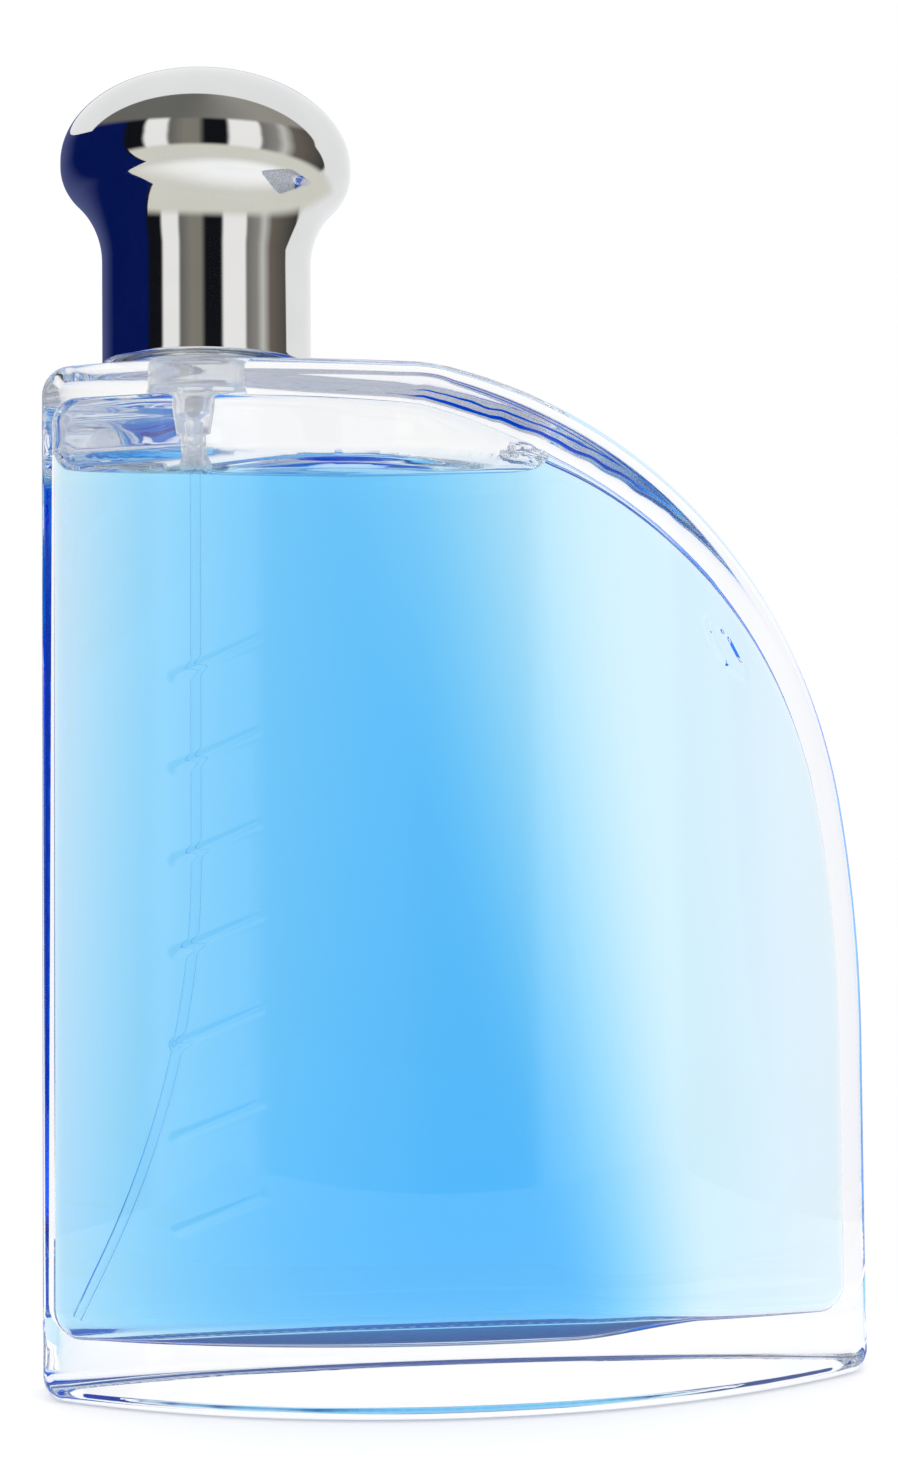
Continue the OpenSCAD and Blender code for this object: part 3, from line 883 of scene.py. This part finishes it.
def build_cap():
    head_r = cap_high[0] - NECK_X
    top = cap_high[2]
    dome_h, bulb_r, waist_r, sleeve_r = 9.5, 4.4, 9.0, 10.85
    equator = top - dome_h
    bulb = np.array([head_r - bulb_r, equator - 0.5])
    waist_x, reach = sleeve_r + waist_r, bulb_r + waist_r
    waist = np.array([waist_x, bulb[1] - math.sqrt(reach ** 2 - (waist_x - bulb[0]) ** 2)])
    lean = math.degrees(math.atan2(bulb[1] - waist[1], waist_x - bulb[0]))
    foot, bore = cap_low[2], 9.65
    ceiling = liner_high[2] + 0.05
    steps = 22
    outside = [waist + waist_r * heading(180 - lean * k / steps) for k in range(steps + 1)]
    outside += [bulb + bulb_r * heading(-lean * (1 - k / steps)) for k in range(1, steps + 1)]
    outside += [
        np.array([head_r * math.cos(a), equator + dome_h * math.sin(a)])
        for a in np.radians(np.linspace(0, 90, 46))
    ]
    straight = [np.array([sleeve_r, z]) for z in np.linspace(foot + 0.4, waist[1], 8)[:-1]]
    edge = fillet([(bore, foot, 0.12), (sleeve_r, foot, 0.25), (sleeve_r, foot + 0.4, 0)], 5)[:-1]
    inside_wall = fillet([(0, ceiling, 0), (bore, ceiling, 0.3), (bore, foot + 0.5, 0)], 4)
    profile = edge + straight + outside + inside_wall
    cap = lathe("chrome_cap", profile, MATS["cap_metal"], 256, sharp=50.0)
    settle(cap, "cap", "cap_metal", "cap_shell")


# ---------------------------------------------------------------- assembly

build_glass()
build_liquid()
build_dip_tube()
build_housing()
build_ferrule()
build_collar()
build_cap()
build_spring("return_coil", "return_spring", "bottle", 2.05, 0.17, 5)
build_spring("preload_coil", "preload_spring", "stem", 2.05, 0.14, 3)

# ---------------------------------------------------------------- stage


class Nodes:
    """Short names for the few node sums that the studio needs."""

    def __init__(self, tree):
        self.tree = tree

    def sum(self, operation, *values):
        node = self.tree.nodes.new("ShaderNodeMath")
        node.operation = operation
        for socket, value in zip(node.inputs, values):
            self.feed(socket, value)
        return node.outputs[0]

    def feed(self, socket, value):
        if isinstance(value, (int, float)):
            socket.default_value = value
        elif isinstance(value, tuple):
            socket.default_value = (*value, 1)[:len(socket.default_value)]
        else:
            self.tree.links.new(value, socket)

    def step(self, value, low, high):
        """0 below low, 1 above high and a soft edge between them."""
        node = self.tree.nodes.new("ShaderNodeMapRange")
        node.interpolation_type = "SMOOTHSTEP"
        self.feed(node.inputs["Value"], value)
        node.inputs["From Min"].default_value = low
        node.inputs["From Max"].default_value = high
        return node.outputs["Result"]

    def blend(self, share, below, above):
        node = self.tree.nodes.new("ShaderNodeMix")
        node.data_type = "RGBA"
        self.feed(node.inputs[0], share)
        self.feed(node.inputs[6], below)
        self.feed(node.inputs[7], above)
        return node.outputs[2]


def build_floor():
    """A floor that glows white round the bottle, a painted pool of light that washes out the shadow there,
    and fades to a warm grey further out, a little unevenly.
    """
    half_wide, near, far = 130.0, -160.0, 23.0
    # Emission strength of the painted pool of light round the bottle.
    painted_pool_glow = 0.4
    material, tree, shader, _ = principled("pale_floor", (0.9, 0.9, 0.9), 0.7)
    shader.inputs["Specular IOR Level"].default_value = 0.1
    shader.inputs["Emission Color"].default_value = (1.0, 1.0, 1.0, 1)
    make = Nodes(tree)
    place = tree.nodes.new("ShaderNodeTexCoord")
    radius = tree.nodes.new("ShaderNodeVectorMath")
    radius.operation = "LENGTH"
    tree.links.new(place.outputs["Object"], radius.inputs[0])
    uneven = make.sum("MULTIPLY", add_noise(tree, 3.0, 2.0).outputs["Fac"], 0.01)
    fade = make.step(make.sum("ADD", radius.outputs["Value"], uneven), 0.05, 0.14)
    make.feed(shader.inputs["Base Color"], make.blend(fade, (0.88, 0.88, 0.88), (0.78, 0.78, 0.72)))
    # The painted light fades out where the floor turns grey.
    lost = make.sum("MULTIPLY", fade, painted_pool_glow)
    make.feed(shader.inputs["Emission Strength"], make.sum("SUBTRACT", painted_pool_glow, lost))
    corners = ((-half_wide, near), (half_wide, near), (half_wide, far), (-half_wide, far))
    points = [(x, y, -0.02) for x, y in corners]
    floor = make_object("floor", points, [list(range(4))], material)


CAMERA_YAW = 7.06


def studio_wall(make, azimuth):
    """What stands round the cap, from behind on its left, past the camera, to behind on its right."""
    navy, black, white = (0.002, 0.009, 0.10), (0.006, 0.007, 0.010), (1.0, 1.0, 1.0)
    stops = [
        (-180, (0.13, 0.15, 0.30)), (-140, (0.06, 0.075, 0.21)), (-117, navy), (-62, navy), (-58, black),
        (-44, black), (-41, white), (-25, white), (-22, (0.15, 0.15, 0.14)), (-10, (0.25, 0.24, 0.21)),
        (0, (0.24, 0.23, 0.20)), (5, black), (22, black), (25, white), (48, white),
        (51, (0.20, 0.19, 0.19)), (63, (0.30, 0.29, 0.27)), (70, (0.62, 0.62, 0.60)),
        (80, (0.16, 0.14, 0.12)), (100, (0.10, 0.09, 0.08)), (113, (0.05, 0.05, 0.05)),
        (117, (0.80, 0.81, 0.83)), (180, (0.90, 0.91, 0.93))
    ]
    ramp = make.tree.nodes.new("ShaderNodeValToRGB")
    elements = ramp.color_ramp.elements
    while len(elements) < len(stops):
        elements.new(0.5)
    for element, (angle, shade) in zip(elements, stops):
        element.position = (angle + 180) / 360
        element.color = (*shade, 1)
    make.feed(ramp.inputs["Fac"], make.sum("ADD", make.sum("DIVIDE", azimuth, 360), 0.5))
    return ramp.outputs["Color"]


def build_world():
    """Studio light by direction: white to the camera, a bright field through glass, soft boxes in gloss."""
    world = bpy.data.worlds.new("studio")
    bpy.context.scene.world = world
    world.use_nodes = True
    tree = world.node_tree
    tree.nodes.clear()
    make = Nodes(tree)
    output = tree.nodes.new("ShaderNodeOutputWorld")
    place = tree.nodes.new("ShaderNodeTexCoord")
    turn = tree.nodes.new("ShaderNodeVectorRotate")
    turn.rotation_type = "Z_AXIS"
    turn.inputs["Angle"].default_value = math.radians(CAMERA_YAW)
    tree.links.new(place.outputs["Generated"], turn.inputs["Vector"])
    split = tree.nodes.new("ShaderNodeSeparateXYZ")
    tree.links.new(turn.outputs["Vector"], split.inputs["Vector"])
    x, y, z = split.outputs
    degree = 180 / math.pi
    azimuth = make.sum("MULTIPLY", make.sum("ARCTAN2", x, make.sum("MULTIPLY", y, -1.0)), degree)
    behind = make.sum("MULTIPLY", make.sum("ARCTAN2", x, y), degree)
    height = make.sum("MULTIPLY", make.sum("ARCSINE", z), degree)

    # Gloss: the wall of boxes and flags low down, a grey ceiling in front, and white overhead behind.
    wall = studio_wall(make, azimuth)
    ceiling = make.blend(make.step(azimuth, -20, 60), (0.16, 0.16, 0.15), (0.34, 0.33, 0.30))
    front = make.blend(make.step(height, 26, 34), wall, ceiling)
    rear = make.sum("ADD", y, make.sum("MULTIPLY", z, 0.52))
    front = make.blend(make.step(rear, 0.32, 0.36), front, (0.93, 0.94, 0.96))
    card = make.sum("MULTIPLY", make.sum("LESS_THAN", azimuth, -58), make.sum("LESS_THAN", height, 24))
    gloss = make.blend(card, front, wall)
    low = make.sum("MULTIPLY", make.step(height, -12, -24), make.sum("GREATER_THAN", azimuth, -58))
    gloss = make.blend(low, gloss, (0.76, 0.76, 0.69))

    # Through the glass: an even field, dim and bluish far out to the right and high up.
    clear = make.blend(make.step(behind, 40, 75), (1.02, 1.02, 1.02), (0.22, 0.27, 0.40))
    clear = make.blend(make.step(height, 25, 45), clear, (0.05, 0.09, 0.28))

    kind = tree.nodes.new("ShaderNodeLightPath")
    shade = make.blend(kind.outputs["Is Glossy Ray"], (1.0, 1.0, 1.0), gloss)
    shade = make.blend(kind.outputs["Is Transmission Ray"], shade, clear)
    shade = make.blend(kind.outputs["Is Camera Ray"], shade, (1.0, 1.0, 1.0))
    background = tree.nodes.new("ShaderNodeBackground")
    tree.links.new(shade, background.inputs["Color"])
    tree.links.new(background.outputs["Background"], output.inputs["Surface"])


def build_camera():
    frame_height = 1484
    focal_px, distance, yaw, pitch, roll = 2173.6, 230.0, CAMERA_YAW, -1.24, -0.37
    aim = Vector((-0.72, 0, 66.72)) * MM
    a, p, r = (math.radians(v) for v in (yaw, pitch, roll))
    look = Vector((math.sin(a) * math.cos(p), math.cos(a) * math.cos(p), -math.sin(p)))
    side = look.cross(Vector((0, 0, 1))).normalized()
    up = side.cross(look)
    turned_side = side * math.cos(r) + up * math.sin(r)
    turned_up = -side * math.sin(r) + up * math.cos(r)
    data = bpy.data.cameras.new("camera")
    data.sensor_width = 36.0
    data.lens = focal_px * data.sensor_width / frame_height
    data.clip_start = 0.01
    data.clip_end = 50.0
    camera = bpy.data.objects.new("camera", data)
    bpy.context.scene.collection.objects.link(camera)
    camera.location = aim - look * distance * MM
    basis = [turned_side, turned_up, -look]
    camera.rotation_mode = "QUATERNION"
    camera.rotation_quaternion = Matrix([[b[i] for b in basis] for i in range(3)]).to_quaternion()
    bpy.context.scene.camera = camera


build_floor()
build_world()
build_camera()
bpy.context.scene.view_settings.view_transform = "Standard"
bpy.context.scene.cycles.max_bounces = 40
bpy.context.scene.cycles.transmission_bounces = 40
bpy.context.scene.cycles.glossy_bounces = 24

bpy.context.view_layer.update()
